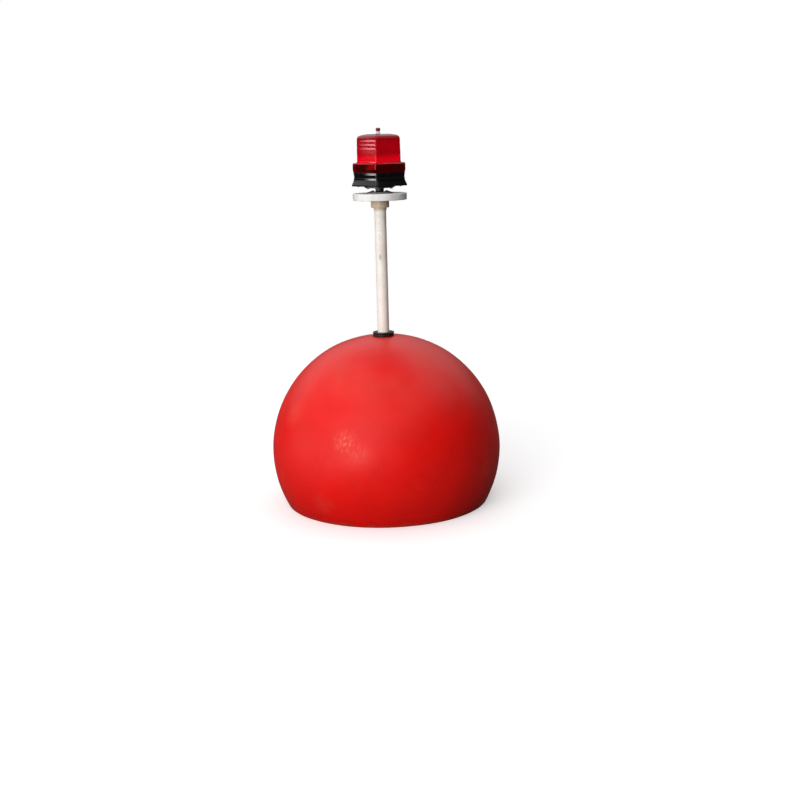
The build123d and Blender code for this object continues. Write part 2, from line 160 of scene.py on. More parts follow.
@named
class FittingSettings(bpy.types.PropertyGroup):
    """Rings, collars, bush, cap and the round plate."""
    bore: length(25.2, "Bore of what is slid over the pipe")
    edge: length(1.2, "Round of the fittings' corners")
    ivory: colour("D6C6B1", "Collar, bush and cap")
    worn_ivory: colour("CDBB9C", "Collar, bush and cap where they are worn")
    plate_white: colour("E3E1E0", "Round plate")
    worn_plate: colour("D2CFCC", "Round plate where it is worn")
    rubber: colour("15140F", "Seal rings")
    bloom: colour("26241F", "Bloom on the seal rings")
    seal_edge: length(1.8, "Round of a seal ring's corners")
    seal_waist: length(0.9, "How far a seal ring is slimmer in its middle")
    grub: length(5.2, "Diameter of a grub screw")
    ledge: length(8, "Height of the collar's closed head")
    cap_floor: length(6, "Thickness of the end cap's floor")
    eye_hole: length(10.2, "Hole for the eye bolt in that floor")
    rim_height: length(14.5, "How deep the plate's rim hangs")
    rim_wall: length(4, "Thickness of the plate's rim")
    plate_thickness: length(4.5, "Thickness of the plate's top")
    boss_foot: length(54, "Diameter of the plate's boss at its foot")
    boss_top: length(30, "Diameter of the plate's boss at its top")
    rib_count: count(8, "Ribs under the plate")
    rib_thickness: length(2.4, "Thickness of a rib under the plate")
    rib_start: length(20, "Distance of a rib's inner end from the axis")


@named
class BallastSettings(bpy.types.PropertyGroup):
    """Cast-iron discs."""
    edge: length(3, "Round of a casting's corners")
    draft: length(0.8, "How much wider a disc is at its parting line")
    tar: colour("1B1917", "Tar that the discs are dipped in")
    pit: colour("2B2520", "Tar in the casting's pits")
    rust: colour("5E3118", "Rust where the tar has worn")


@named
class MooringSettings(bpy.types.PropertyGroup):
    """Eye bolt, shackle and pin."""
    grain: length(0.6, "Cell size of the forged pieces' mesh")
    softness: count(6, "Smoothing passes that ease the forged corners")
    zinc: colour("A3A7A9", "Hot-dip zinc")
    zinc_dark: colour("7F8487", "Zinc crystals that lie the other way")
    zinc_dull: colour("8C8F8E", "Zinc that has weathered")


@named
class LampSettings(bpy.types.PropertyGroup):
    """Post, housing, cover and what is behind it."""
    turn: angle(38.7, "How far the lamp is turned on its post")
    stud: length(8, "Diameter of the stud through foot, plate and collar")
    post_flats: length(17, "Width of the hexagonal post across its flats")
    foot_height: length(3.2, "Height above the foot's underside at which the post stands")
    foot_grain: length(0.4, "Cell size of the foot's mesh")
    foot_softness: count(3, "Smoothing passes that ease the foot's pressed corners")
    washer: length(21.2, "Diameter of the washer on the post")
    washer_hole: length(16.4, "Hole of that washer")
    washer_thickness: length(1.3, "Thickness of that washer")
    screw_radius: length(25, "Distance of the seat's screws from the axis")
    screw_head: length(6.5, "Diameter of their heads")
    base_screw_radius: length(45, "Distance of the base plate's screws from the axis")
    base_screw_head: length(5, "Diameter of their heads")
    corner: length(7, "Radius of the housing's upright corners")
    bow: length(0.8, "How far a long side bulges in its middle")
    wall: length(3, "Wall of the housing")
    edge: length(0.6, "Round of the housing's edges")
    skirt: length(87.4, "Width of the skirt at its rim")
    skirt_rim: length(2.5, "Height of the skirt's rim")
    rim_lean: length(0.26, "How far the rim leans in towards its foot")
    knee: length(83, "Width where the flare turns from steep to shallow")
    knee_height: length(9.2, "Height of that turn above the rim's foot")
    skirt_height: length(12.8, "Height of the skirt")
    waist: length(81, "Width of the upright wall")
    lower_band: length(4, "Height of the wall below the groove")
    groove: length(6.4, "Height of the groove round the wall")
    groove_depth: length(0.6, "Depth of that groove")
    groove_lean: length(0.22, "How much deeper the groove is at its foot")
    cover_foot: length(81.2, "Width of the cover at its foot")
    cover: length(83.4, "Width of the cover where it is widest")
    cover_foot_height: length(7, "How far up the cover widens")
    cover_lean: length(0.17, "How far the cover's upright part leans in towards its head")
    cover_edge: length(2, "Sloped edge round the cover's top")
    cover_wall: length(2.2, "Wall of the cover")
    panel_face: length(38.1, "Distance of a panel's face from the axis")
    panel_length: length(60, "Length of a solar panel")
    panel_thickness: length(1.6, "Thickness of a solar panel")
    cell_count: count(6, "Cells along a panel")
    conductor: length(0.7, "Width of a conductor between two cells")
    bar: length(0.6, "Height of a conductor along a panel")
    bar_level: length(4.5, "Distance of such a conductor from the panel's middle")
    conductor_thickness: length(0.12, "Thickness of the conductors")
    column: length(20, "Width of the light column")
    bulb: length(5, "Diameter of a light-emitting diode")
    bulb_height: length(3, "Height of a diode's straight part")
    bulb_rows: count(3, "Rows of diodes on a side")
    bulb_pitch: length(11, "Distance between rows")
    black: colour("08080A", "Housing, seat disc, base plate and panel frame")
    dust: colour("26262A", "Dust on them")
    coating: colour("14110F", "Powder coat of the foot and the post")
    worn_coating: colour("3A241A", "That coat where it is worn")
    steel: colour("B9B6B0", "Screws, washer and conductors")
    tea_stain: colour("8A7360", "Stains on them")
    cover_red: colour("DC0A12", "Red of the cover, which looks dark over the cells")
    cell_blue: colour("060A16", "Silicon cells")
    cell_shade: colour("0A1226", "Lighter grains of the cells")
    cell_silver: colour("9FA3A6", "Conductors on the cells")
    board: colour("D9D8D2", "White board that carries the diodes")
    track: colour("B9BBB0", "Copper tracks under its mask")
    resin: colour("F2DCDC", "Clear resin of the diodes")
    resin_edge: colour("C8B4B4", "That resin where the eye looks along it")


@named
class LensSettings(bpy.types.PropertyGroup):
    """Lens, stem and knob."""
    corner: length(3.5, "Radius of the lens's upright corners")
    bow: length(0.5, "How far a side bulges in its middle")
    wall: length(2.5, "Wall of the lens")
    flange: length(68.8, "Width of the flange at the lens's foot")
    flange_height: length(3, "Height of that flange")
    side: length(67.5, "Width of the lens above its flange")
    draft: length(1.6, "How much narrower the highest rib is than the foot")
    plain: length(14.5, "Height of the smooth part")
    plain_lean: length(0.28, "How far the smooth part leans in towards the ribs")
    rib_count: count(4, "Ribs round the upper half")
    rib_pitch: length(8.2, "Height of a rib")
    rib_lean: length(0.26, "How far a rib would lean in if it were straight")
    rib_curve: length(0.3, "How much further a rib curves in at its head")
    straight_ribs: count(1, "How many of the lowest ribs don't curve in")
    straight_lean: length(0.17, "How far a straight rib leans in")
    rib_proud: length(0.2, "How far a rib's foot stands out from the drafted side")
    prism_depth: length(0.7, "Depth of the prisms inside the lens")
    shoulder: length(61.2, "Width at the shoulder")
    shoulder_height: length(4.3, "Height of the shoulder above the ribs")
    eaves: length(54, "Width where the roof begins")
    eaves_height: length(6.4, "Height of that above the ribs")
    roof: length(37, "Width of the roof's level middle")
    edge: length(0.5, "Round of the lens's edges")
    frost: amount(0.5, "Roughness of the etched inside")
    # Painted light: a faint glow in the lens's own red that brightens it, though the lamp is not lit
    glow: amount(0.32, "Light that the dye gives off in daylight")
    red: colour("FC1036", "Red of the lens")
    # This red is also the painted shade laid over the lens's upper part
    deep_red: colour("6A0218", "Red where the eye looks along the lens's wall")
    sheen_pink: colour("FFB0B6", "Tint of what the lens mirrors, as its inner face mirrors too")
    # Painted highlight: this near-white pink stands in for the highlight on the stem's cone
    stem_highlight_pink: colour("FBE4E8", "Pale red of the stem")
    stem_edge: colour("D89AA8", "The stem where the eye looks along it")
    knob_red: colour("5A0A18", "Dark red of the knob")
    worn_knob: colour("6E1C26", "The knob where it is worn")


@named
class StageSettings(bpy.types.PropertyGroup):
    """Camera, floor and lights."""
    camera_place: location((0.0321, -2.527, 0.779), "Where the camera stands")
    pitch: angle(12.49, "How far the camera looks down")
    roll: angle(1.42, "How far the camera leans")
    focal_pixels: amount(1177, "Focal length in pixels of the picture")
    picture_width: amount(800, "Width of the picture in pixels")
    floor_radius: length(9000, "Radius of the floor")
    fade_start: length(1300, "Distance at which the floor starts to fade out")
    fade_end: length(2400, "Distance at which the floor has gone")
    floor_white: colour("F4F4F4", "Pale floor")
    floor_patch: colour("E6E6E6", "Faint patches on the floor")
    floor_seen: colour("5A5654", "What the floor sends back to the buoy")
    floor_glow: amount(0.3, "Extra white of the floor, which only the camera sees")
    low_sky: amount(0.02, "Radiance of the sky where nothing brightens it")
    left_sky: amount(0.6, "Radiance of the sky high on the left")
    back_sky: amount(0.75, "Radiance of the sky high behind the buoy")
    low_back_sky: amount(0.06, "Radiance of the sky low behind the buoy")
    right_sky: amount(0.4, "Radiance of the sky high on the right")
    top_sky: amount(0.6, "Radiance of the sky overhead")
    front_sky: amount(1.2, "Radiance of the sky at the front left")
    front_way: bpy.props.FloatVectorProperty(
        description="Where that is, seen from the buoy", default=(-0.41, -0.845, 0.34), subtype="DIRECTION"
    )
    low_band: amount(6.5, "Radiance of the band on the left that the housing's wall mirrors")
    middle_band: amount(0.8, "Radiance of the band between them, which the lens's smooth part mirrors")
    high_band: amount(5.2, "Radiance of the band on the left that the lens's ribs mirror")
    key_light: amount(2.95, "Radiance of the wide light at the front left")
    key_place: location((-1.3, -3.13, 1.2), "Where that light stands")
    key_aim: location((0, 0, 0.3), "What that light looks at")
    key_width: length(3000, "Width of that light")
    key_height: length(2500, "Height of that light")


@named
class BuoySettings(bpy.types.PropertyGroup):
    """All of the buoy's settings."""
    ball: bpy.props.PointerProperty(type=BallSettings)
    pole: bpy.props.PointerProperty(type=PoleSettings)
    fittings: bpy.props.PointerProperty(type=FittingSettings)
    ballast: bpy.props.PointerProperty(type=BallastSettings)
    mooring: bpy.props.PointerProperty(type=MooringSettings)
    lamp: bpy.props.PointerProperty(type=LampSettings)
    lens: bpy.props.PointerProperty(type=LensSettings)
    stage: bpy.props.PointerProperty(type=StageSettings)


# Meshes, each a list of points and a list of faces

def rounded(corners, closed=False, steps=4):
    """An outline through (across, height, radius) corners, each rounded to its radius."""
    outline = []
    for i, (across, height, radius) in enumerate(corners):
        here = Vector((across, height))
        is_end = not closed and i in (0, len(corners) - 1)
        if is_end or radius == 0:
            outline.append(here)
            continue
        before = Vector(corners[i - 1][:2]) - here
        after = Vector(corners[(i + 1) % len(corners)][:2]) - here
        turn = math.pi - before.angle(after)
        reach = min(radius * math.tan(turn / 2), 0.45 * before.length, 0.45 * after.length)
        start = here + before.normalized() * reach
        end = here + after.normalized() * reach
        for step in range(steps + 1):
            share = step / steps
            outline.append(start.lerp(here, share).lerp(here.lerp(end, share), share))
    return outline


def circle(radius, height, sides):
    """Points of a level circle on the axis, or its one point where the radius is nothing."""
    if radius < 1e-7:
        return [Vector((0, 0, height))]
    return [
        Vector((radius * math.cos(math.tau * i / sides), radius * math.sin(math.tau * i / sides), height))
        for i in range(sides)
    ]


def prism_ring(sides, half, corner, height, turn=0.0, bow=0.0, side_steps=10, corner_steps=6):
    """Points of a level section of a prism with rounded corners and sides that bulge by bow."""
    ring = []
    flat = (half - corner) * math.tan(math.pi / sides)
    for side in range(sides):
        facing = turn + math.tau * side / sides
        out = Vector((math.cos(facing), math.sin(facing), 0))
        along = Vector((-out.y, out.x, 0))
        for step in range(side_steps + 1):
            share = 2 * step / side_steps - 1
            ring.append(out * (half + bow * (1 - share ** 2)) + along * flat * share)
        for step in range(1, corner_steps):
            bend = math.tau / sides * step / corner_steps
            centre = out * (half - corner) + along * flat
            ring.append(centre + (out * math.cos(bend) + along * math.sin(bend)) * corner)
    return [point + Vector((0, 0, height)) for point in ring]


def skin(rings, closed=False):
    """A mesh through rings of points. A ring of one point closes the end where it stands."""
    points, faces, starts = [], [], []
    for ring in rings:
        starts.append(len(points))
        points.extend(ring)
    steps = list(zip(range(len(rings)), range(1, len(rings))))
    if closed:
        steps.append((len(rings) - 1, 0))
    for low, high in steps:
        size_low, size_high = len(rings[low]), len(rings[high])
        for i in range(max(size_low, size_high)):
            corners = (
                starts[low] + i % size_low,
                starts[low] + (i + 1) % size_low,
                starts[high] + (i + 1) % size_high,
                starts[high] + i % size_high,
            )
            faces.append(tuple(dict.fromkeys(corners)))
    return points, faces


def lathe(corners, sides=128, closed=True):
    """A mesh of an outline through (across, height, radius) corners that is turned about the axis."""
    return skin([circle(across, height, sides) for across, height in rounded(corners, closed)], closed)


def joined(meshes):
    """Several meshes as one."""
    points, faces = [], []
    for more_points, more_faces in meshes:
        start = len(points)
        points.extend(more_points)
        faces.extend(tuple(i + start for i in face) for face in more_faces)
    return points, faces


def moved(mesh, place=(0, 0, 0), turn=0.0, axis="Z"):
    """A mesh turned about an axis through the origin and then moved to a place."""
    points, faces = mesh
    matrix = Matrix.Translation(place) @ Matrix.Rotation(turn, 4, axis)
    return [matrix @ point for point in points], faces


def around(number, mesh, turn=0.0):
    """Copies of a mesh, evenly spaced about the axis."""
    return joined(moved(mesh, turn=turn + math.tau * i / number) for i in range(number))


def span(node):
    """A CAD node's lowest and highest level, and its radius across."""
    low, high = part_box(node)
    return low.z, high.z, (high.x - low.x) / 2


def eased_box(size, edge):
    """A box about the origin with rounded edges."""
    shape = bmesh.new()
    bmesh.ops.create_cube(shape, size=1.0)
    bmesh.ops.scale(shape, vec=size, verts=shape.verts)
    bmesh.ops.bevel(shape, geom=shape.edges[:], offset=edge, segments=2, profile=0.5, affect="EDGES")
    points = [vert.co.copy() for vert in shape.verts]
    faces = [tuple(vert.index for vert in face.verts) for face in shape.faces]
    shape.free()
    return points, faces


def screw_head(radius, height, recess, sides=48, steps=5):
    """A pan head on the level z = 0 that looks up, with a recess whose reach is given for each angle."""
    # Its flat's share of the radius, the recess's share of the height, and how much the recess narrows
    flat, depth, taper = 0.72, 0.6, 0.25
    rings = [circle(0, 0, 1), circle(radius, 0, sides)]
    for step in range(1, steps + 1):
        lean = math.pi / 2 * step / steps
        across = radius * (flat + (1 - flat) * math.cos(lean))
        rings.append(circle(across, height * math.sin(lean), sides))
    for down in (0.0, depth):
        reach = radius * (1 - taper * down)
        rings.append([
            point * recess(math.tau * i / sides) + Vector((0, 0, height * (1 - down)))
            for i, point in enumerate(circle(reach, 0, sides))
        ])
    return skin([*rings, circle(0, height * (1 - depth), 1)])


def cross_recess(turn, reach=0.55, half_width=0.13):
    """The reach of a cross-shaped recess, as a share of the head's radius."""
    long, short = sorted((abs(math.cos(turn)), abs(math.sin(turn))), reverse=True)
    return reach / long if reach * short / long <= half_width else half_width / short


def hex_recess(turn, half=0.5):
    """The reach of a six-sided recess, as a share of the head's radius."""
    sector = math.tau / 6
    return half / math.cos((turn + sector / 2) % sector - sector / 2)


def shown(name, data):
    """An object in the scene for a mesh, a camera or a light."""
    made = bpy.data.objects.new(name, data)
    bpy.context.scene.collection.objects.link(made)
    return made


def piece(name, node, mesh, finishes, body=BUOY, sharp=32, even=True):
    """Adds a mesh as one of the buoy's pieces, in place of a CAD node if one is given."""
    data = bpy.data.meshes.new(name)
    data.from_pydata(mesh[0], [], mesh[1])
    if data.validate():
        raise RuntimeError(f"{name} has faces that aren't whole")
    return add_piece(name, node, data, finishes, body, sharp, even)


def add_piece(name, node, data, finishes, body, sharp, even):
    """Adds a piece from Blender's own mesh. It is smooth but for edges sharper than an angle in degrees."""
    for finish in finishes if isinstance(finishes, tuple) else [finishes]:
        data.materials.append(finish)
    data.shade_smooth()
    data.set_sharp_from_angle(angle=math.radians(sharp))
    made = shown(name, data)
    if even:
        made.modifiers.new("Even normals", "WEIGHTED_NORMAL").keep_sharp = True
    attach(made, body)
    if node:
        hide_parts(node)
    return made


def softened(name, node, finish, body, grain, passes):
    """A copy of a CAD node whose edges are rounded as forging and dipping leave them."""
    rough = shown(name + "_rough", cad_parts[node].data.copy())
    cells = rough.modifiers.new("Cells", "REMESH")
    cells.mode = "VOXEL"
    cells.voxel_size = grain
    ease = rough.modifiers.new("Ease", "SMOOTH")
    ease.iterations = passes
    graph = bpy.context.evaluated_depsgraph_get()
    data = bpy.data.meshes.new_from_object(rough.evaluated_get(graph))
    data.name = name
    data.materials.clear()
    bpy.data.objects.remove(rough)
    return add_piece(name, node, data, finish, body, sharp=180, even=False)


# Finishes

class Nodes:
    """A node tree that is being filled, and the coordinates that its patterns follow."""

    def __init__(self, tree, coordinates):
        self.tree = tree
        self.place = self.add("TexCoord", output=coordinates)

    def add(self, kind, *values, output=0, inputs=None, **settings):
        """Adds a node with its settings and links, and returns one of its outputs, or with None all of them.
        Values go into its inputs in their order, and what inputs holds goes in by name."""
        made = self.tree.nodes.new("ShaderNode" + kind)
        for name, value in settings.items():
            setattr(made, name, value)
        self.fill(made, {**dict(enumerate(values)), **(inputs or {})})
        return made.outputs if output is None else made.outputs[output]

    def fill(self, node, inputs):
        """Fills a node's inputs. A value is set there, or linked where it is another node's socket."""
        for name, value in inputs.items():
            if isinstance(value, bpy.types.NodeSocket):
                self.tree.links.new(value, node.inputs[name])
            else:
                node.inputs[name].default_value = value

    def mask(self, *factors):
        """The product of factors. Each is a value, or (value, start, end), which goes from 0 to 1 softly."""
        product = None
        for factor in factors:
            if isinstance(factor, tuple):
                value, start, end = factor
                factor = self.add("MapRange", value, start, end, interpolation_type="SMOOTHSTEP")
            if product is not None:
                factor = self.add("Math", product, factor, operation="MULTIPLY")
            product = factor
        return product

    def blotches(self, size, low=0.2, high=0.8, detail=3.0, stretch=(1, 1, 1)):
        """Soft patches of about size millimetres. Above low they begin and at high they are full."""
        scaled = self.add("VectorMath", self.place, stretch, operation="MULTIPLY")
        settings = {"Vector": scaled, "Scale": 1 / (size * MM), "Detail": detail}
        return self.mask((self.add("TexNoise", inputs=settings), low, high))

    def painted(self, base, *layers):
        """A base colour with layers over it. A layer is the factors of its mask and then its colour."""
        for *factors, layer in layers:
            base = self.add("MixRGB", self.mask(*factors), base, layer)
        return base


class Finish(Nodes):
    """A material that is being made. What it is given by name are its shader's own values."""

    def __init__(self, name, **values):
        self.material = bpy.data.materials.new(name)
        self.material.use_nodes = True
        super().__init__(self.material.node_tree, "Object")
        self.shader = self.tree.nodes["Principled BSDF"]
        self.fill(self.shader, {socket.replace("_", " "): value for socket, value in values.items()})

    def dressed(self, colour, roughness, *bumps):
        """The material, with its colour, its roughness and (height, depth in millimetres) bumps. A roughness
        of (mask, low, high) goes from low to high with the mask."""
        if isinstance(roughness, tuple):
            mask, low, high = roughness
            roughness = self.add("MapRange", mask, 0, 1, low, high, interpolation_type="SMOOTHSTEP")
        normal = {}
        for height, depth in bumps:
            bump = {"Height": height, "Distance": depth * MM, **normal}
            normal = {"Normal": self.add("Bump", inputs=bump)}
        self.fill(self.shader, {"Base Color": colour, "Roughness": roughness, **normal})
        return self.material


# Finishes that several operators use
IVORY_PVC = "Moulded ivory PVC"
STAINLESS = "Stainless steel"
BLACK_ABS = "Glossy black ABS"

# Marks on the ball: turn from the front in degrees, height and radius in millimetres, and strength
SCUFFS = (
    (-20, 186, 34, 0.6),
    (-13, 164, 30, 0.3),
    (-58, 223, 40, 0.2),
    (58, 95, 30, 0.2),
    (-33, 49, 34, 0.14),
    (150, 140, 45, 0.4),
    (210, 60, 40, 0.35),
)


def ball_finish(ball):
    """Rotomoulded polyethylene: a waxy orange-peel skin, so highlights are wide and soft. The upper part is
    painted lighter, as sun chalking and as a painted sheen of the sky. At the waterline there is a wet band,
    glossy and darker, with a thin line of scum."""
    made = Finish("Rotomoulded red polyethylene", IOR=1.51, Specular_IOR_Level=0.3)
    height = made.add("SeparateXYZ", made.place, output="Z")
    mottle = made.blotches(60, 0.3, 0.7)
    cloud = made.blotches(130, 0.35, 0.7, detail=2)
    tide = made.add("Math", made.blotches(25), -8 * MM, height, operation="MULTIPLY_ADD")
    wet = made.mask((tide, 16 * MM, 2 * MM))

    marks = 0.0
    low, high, _ = span("float_ball")
    middle = (low + high) / 2
    for degrees, level, radius, strength in SCUFFS:
        turn = math.radians(degrees)
        spoke = math.sqrt((ball.diameter / 2) ** 2 - (level * MM - middle) ** 2)
        centre = (spoke * math.sin(turn), -spoke * math.cos(turn), level * MM)
        gap = made.add("VectorMath", made.place, centre, output="Value", operation="DISTANCE")
        mark = made.mask(strength, (gap, radius * MM, 0.1 * radius * MM))
        marks = made.add("Math", marks, mark, operation="MAXIMUM")
    scuffed = made.mask(marks, made.blotches(3.2, 0.4, 0.75, detail=4, stretch=(1, 1, 0.22)))

    colour = made.painted(
        ball.red,
        (mottle, ball.deep_red),
        # Sun chalking and painted sheen: the upper part is painted lighter
        (0.5, (height, 160 * MM, 380 * MM), cloud, ball.chalk_and_sheen_red),
        (0.35, marks, ball.chalk_and_sheen_red),
        (scuffed, ball.scuff_pink),
        (0.3, made.blotches(1.6, 0.62, 0.7, detail=1, stretch=(1, 1, 0.08)), mottle, ball.chalk_and_sheen_red),
        (0.55, wet, ball.deep_red),
        (0.5, (tide, -6 * MM, -1 * MM), (tide, 3 * MM, 0), ball.scum),
        (0.8, (height, -8 * MM, -40 * MM), made.blotches(12, 0.42, 0.62), ball.weed),
    )
    roughness = 0.36
    for mask, change in ((cloud, 0.12), (marks, 0.15), (wet, -0.24)):
        roughness = made.add("Math", mask, change, roughness, operation="MULTIPLY_ADD")
    orange_peel = made.blotches(6, detail=2)
    sink_marks = made.blotches(40, detail=1)
    return made.dressed(colour, roughness, (orange_peel, 0.08), (scuffed, 0.04), (sink_marks, 0.25))


def pipe_finish(pole):
    """Extruded PVC-U pipe: smooth along its length with faint draw lines, yellowed a little, with a thin line
    of print that has worn to dashes and a dark spot under it."""
    made = Finish("Extruded white PVC pipe", IOR=1.53, Specular_IOR_Level=0.5)
    across, back, height = made.add("SeparateXYZ", made.place, output=None)
    yellow = made.blotches(45, 0.35, 0.7)
    shifted = made.add("Math", across, pole.print_aside, operation="ADD")
    aside = made.add("Math", shifted, operation="ABSOLUTE")
    dashes = made.blotches(7, 0.42, 0.5, detail=1, stretch=(0.1, 0.1, 1))
    foot = (height, pole.print_foot, pole.print_foot + 5 * MM)
    head = (height, pole.print_head, pole.print_head - 6 * MM)
    squash = Vector((1, 1, 0.32))
    squashed = made.add("VectorMath", made.place, squash, operation="MULTIPLY")
    centre = Vector(pole.spot_place) * squash
    gap = made.add("VectorMath", squashed, centre, output="Value", operation="DISTANCE")
    colour = made.painted(
        pole.white,
        (yellow, pole.weathered),
        (0.35, made.blotches(9, 0.5, 0.75), pole.grime),
        (0.6, (aside, 0.9 * MM, 0.4 * MM), (back, 0, -5 * MM), dashes, foot, head, pole.ink),
        (0.6, (gap, 2.6 * MM, 1.2 * MM), pole.spot),
    )
    draw_lines = made.blotches(1.2, detail=1, stretch=(1, 1, 0.02))
    return made.dressed(colour, (yellow, 0.26, 0.4), (draw_lines, 0.03))


def moulded_finish(name, fresh, worn, roughness, coarse=5.0):
    """Injection-moulded PVC, ABS or nylon: an even satin skin, with dirt that gathers in soft patches."""
    made = Finish(name, IOR=1.53, Specular_IOR_Level=0.5)
    dull = made.blotches(18, 0.35, 0.7)
    colour = made.painted(fresh, (dull, worn), (0.4, made.blotches(3, 0.62, 0.75), worn))
    return made.dressed(colour, (dull, roughness, roughness + 0.14), (made.blotches(coarse, detail=2), 0.03))


def ivory_finish(fittings):
    """Moulded PVC that has yellowed to ivory."""
    return moulded_finish(IVORY_PVC, fittings.ivory, fittings.worn_ivory, 0.34)


def rubber_finish(fittings):
    """Moulded EPDM rubber: black, wet and glossy on top, with a faint bloom."""
    made = Finish("Moulded EPDM rubber", IOR=1.52, Specular_IOR_Level=0.3)
    bloom = made.blotches(7, 0.45, 0.75)
    colour = made.painted(fittings.rubber, (0.4, bloom, fittings.bloom))
    return made.dressed(colour, (bloom, 0.2, 0.42), (made.blotches(2.5), 0.05))


def iron_finish(ballast):
    """Sand-cast iron, dipped in tar: pitted and dull, with rust where the tar has worn through."""
    made = Finish("Tarred cast iron", IOR=1.6)
    worn = made.blotches(14, 0.5, 0.66, detail=6)
    pits = made.blotches(2.2, 0.4, 0.7, detail=4)
    colour = made.painted(ballast.tar, (0.4, pits, ballast.pit), (worn, ballast.rust))
    return made.dressed(colour, (worn, 0.42, 0.85), (pits, 0.35), (worn, 0.2), (made.blotches(9), 0.4))


def zinc_finish(mooring):
    """Hot-dip galvanised steel: crystals of zinc a few millimetres across, some brighter than others, and
    runs that dulled to grey."""
    made = Finish("Hot-dip galvanised steel", Metallic=1.0)
    pattern = {"Vector": made.place, "Scale": 1 / (4 * MM)}
    crystals = made.add("TexVoronoi", output="Color", inputs=pattern)
    bright = made.add("SeparateColor", crystals, output="Red")
    dull = made.blotches(11, 0.42, 0.68)
    colour = made.painted(mooring.zinc, (0.7, bright, mooring.zinc_dark), (0.6, dull, mooring.zinc_dull))
    return made.dressed(colour, (dull, 0.34, 0.6), (made.blotches(3), 0.08), (bright, 0.02))


def black_finish(lamp):
    """Injection-moulded ABS, polished mould: deep black and glossy, with faint dust and sink ripple."""
    made = Finish(BLACK_ABS, IOR=1.54, Specular_IOR_Level=0.6)
    dust = made.blotches(16, 0.5, 0.8)
    colour = made.painted(lamp.black, (0.35, dust, lamp.dust))
    return made.dressed(colour, (dust, 0.06, 0.12), (made.blotches(20, detail=1), 0.04))


def coated_finish(lamp):
    """Powder-coated steel: black with a fine pebbled skin, worn to brown at its high spots."""
    made = Finish("Black powder-coated steel", IOR=1.5, Specular_IOR_Level=0.5)
    worn = made.blotches(5, 0.58, 0.72, detail=5)
    colour = made.painted(lamp.coating, (0.6, worn, lamp.worn_coating))
    # Real powder grain is about 0.3 mm, drawn here at 1 mm so that it shows
    return made.dressed(colour, (worn, 0.36, 0.6), (made.blotches(1), 0.04))


def stainless_finish(lamp):
    """Cold-headed stainless steel: bright, with tea-brown stains that dull it."""
    made = Finish(STAINLESS, Metallic=1.0)
    stain = made.blotches(2, 0.5, 0.75)
    return made.dressed(made.painted(lamp.steel, (0.6, stain, lamp.tea_stain)), (stain, 0.2, 0.45))


def clear_finish(
    name, tint, deep, roughness, clarity=0.8, glow=0.0, ior=1.58, painted_shade_above=(), mirrored=(1, 1, 1, 1)
):
    """Injection-moulded polycarbonate, coloured through: clear but a little milky. A glow in its own colour
    is painted light, since the lamp is not lit. Its colour is deeper where the eye looks along its wall, and
    painted shade darkens it above each given height."""
    made = Finish(name, IOR=ior, Transmission_Weight=clarity, Emission_Strength=glow, Specular_Tint=mirrored)
    film = made.blotches(12, 0.5, 0.85)
    facing = made.add("LayerWeight", 0.5, output="Facing")
    height = made.add("SeparateXYZ", made.place, output="Z")
    # Painted shade: the colour deepens above each given height
    painted_shade = [(0.42, (height, level - 9 * MM, level + 5 * MM), deep) for level in painted_shade_above]
    colour = made.painted(tint, *painted_shade, ((facing, 0.55, 0.9), deep))
    # Painted light: the glow takes the finish's own colour
    if glow:
        made.fill(made.shader, {"Emission Color": colour})
    return made.dressed(colour, (film, roughness, roughness + 0.06), (made.blotches(15, detail=1), 0.012))


def cell_finish(lamp):
    """Silicon cells under matt clear resin: dark blue, with fine conductors across them every 2 mm."""
    made = Finish("Silicon cells under resin", IOR=1.5, Specular_IOR_Level=0.2)
    height = made.add("SeparateXYZ", made.place, output="Z")
    phase = made.add("Math", height, math.tau / (2 * MM), operation="MULTIPLY")
    wave = made.add("Math", phase, operation="SINE")
    shade = made.blotches(8, 0.3, 0.7)
    colour = made.painted(
        lamp.cell_blue, (0.5, shade, lamp.cell_shade), (0.15, (wave, 0.86, 0.97), lamp.cell_silver)
    )
    return made.dressed(colour, (shade, 0.45, 0.6))


def board_finish(lamp):
    """Solder-masked circuit board: matt white, with faint tracks under the mask."""
    made = Finish("White solder mask", IOR=1.5, Specular_IOR_Level=0.4)
    tracks = made.blotches(3, 0.55, 0.6, detail=1, stretch=(1, 1, 0.3))
    colour = made.painted(lamp.board, (0.3, tracks, lamp.track))
    return made.dressed(colour, (tracks, 0.45, 0.35), (tracks, 0.03))


def shared(name, maker, settings):
    """A finish that several operators use, made once."""
    return bpy.data.materials.get(name) or maker(settings)


def carried_over(node, finish):
    """Gives a CAD node that is shown as it is a better material."""
    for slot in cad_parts[node].material_slots:
        slot.material = finish


# Operators

class BuoyOperator:
    """What the buoy's operators have in common."""
    bl_options = {"REGISTER", "UNDO"}

    def execute(self, context):
        self.build(context.scene.buoy)
        return {"FINISHED"}


class BUOY_OT_float_ball(BuoyOperator, bpy.types.Operator):
    """Build the moulded ball with its two flats and its bore"""
    bl_idname = "buoy.float_ball"
    bl_label = "Float ball"

    def build(self, settings):
        ball = settings.ball
        low, high, _ = span("float_ball")
        middle = (low + high) / 2
        radius, bore = ball.diameter / 2, ball.bore / 2
        start = math.asin(ball.seat / ball.diameter)
        side = []
        for step in range(BALL_STEPS + 1):
            polar = start + (math.pi - 2 * start) * step / BALL_STEPS
            ease = ball.seat_ease if step in (0, BALL_STEPS) else 0
            side.append((radius * math.sin(polar), middle - radius * math.cos(polar), ease))
        points, faces = lathe([(bore, low, ball.lip), *side, (bore, high, ball.lip)], 256)
        centre = Vector((0, 0, middle))
        for point in points:
            from_seat = math.hypot(point.x, point.y) - ball.seat / 2
            share = min(max(from_seat / ball.even_zone, 0), 1)
            swell = noise.noise(point * ball.waves) + 0.4 * noise.noise(point * ball.ripples)
            point += (point - centre).normalized() * swell * ball.unevenness * share
        piece("moulded_ball", "float_ball", (points, faces), ball_finish(ball), even=False)


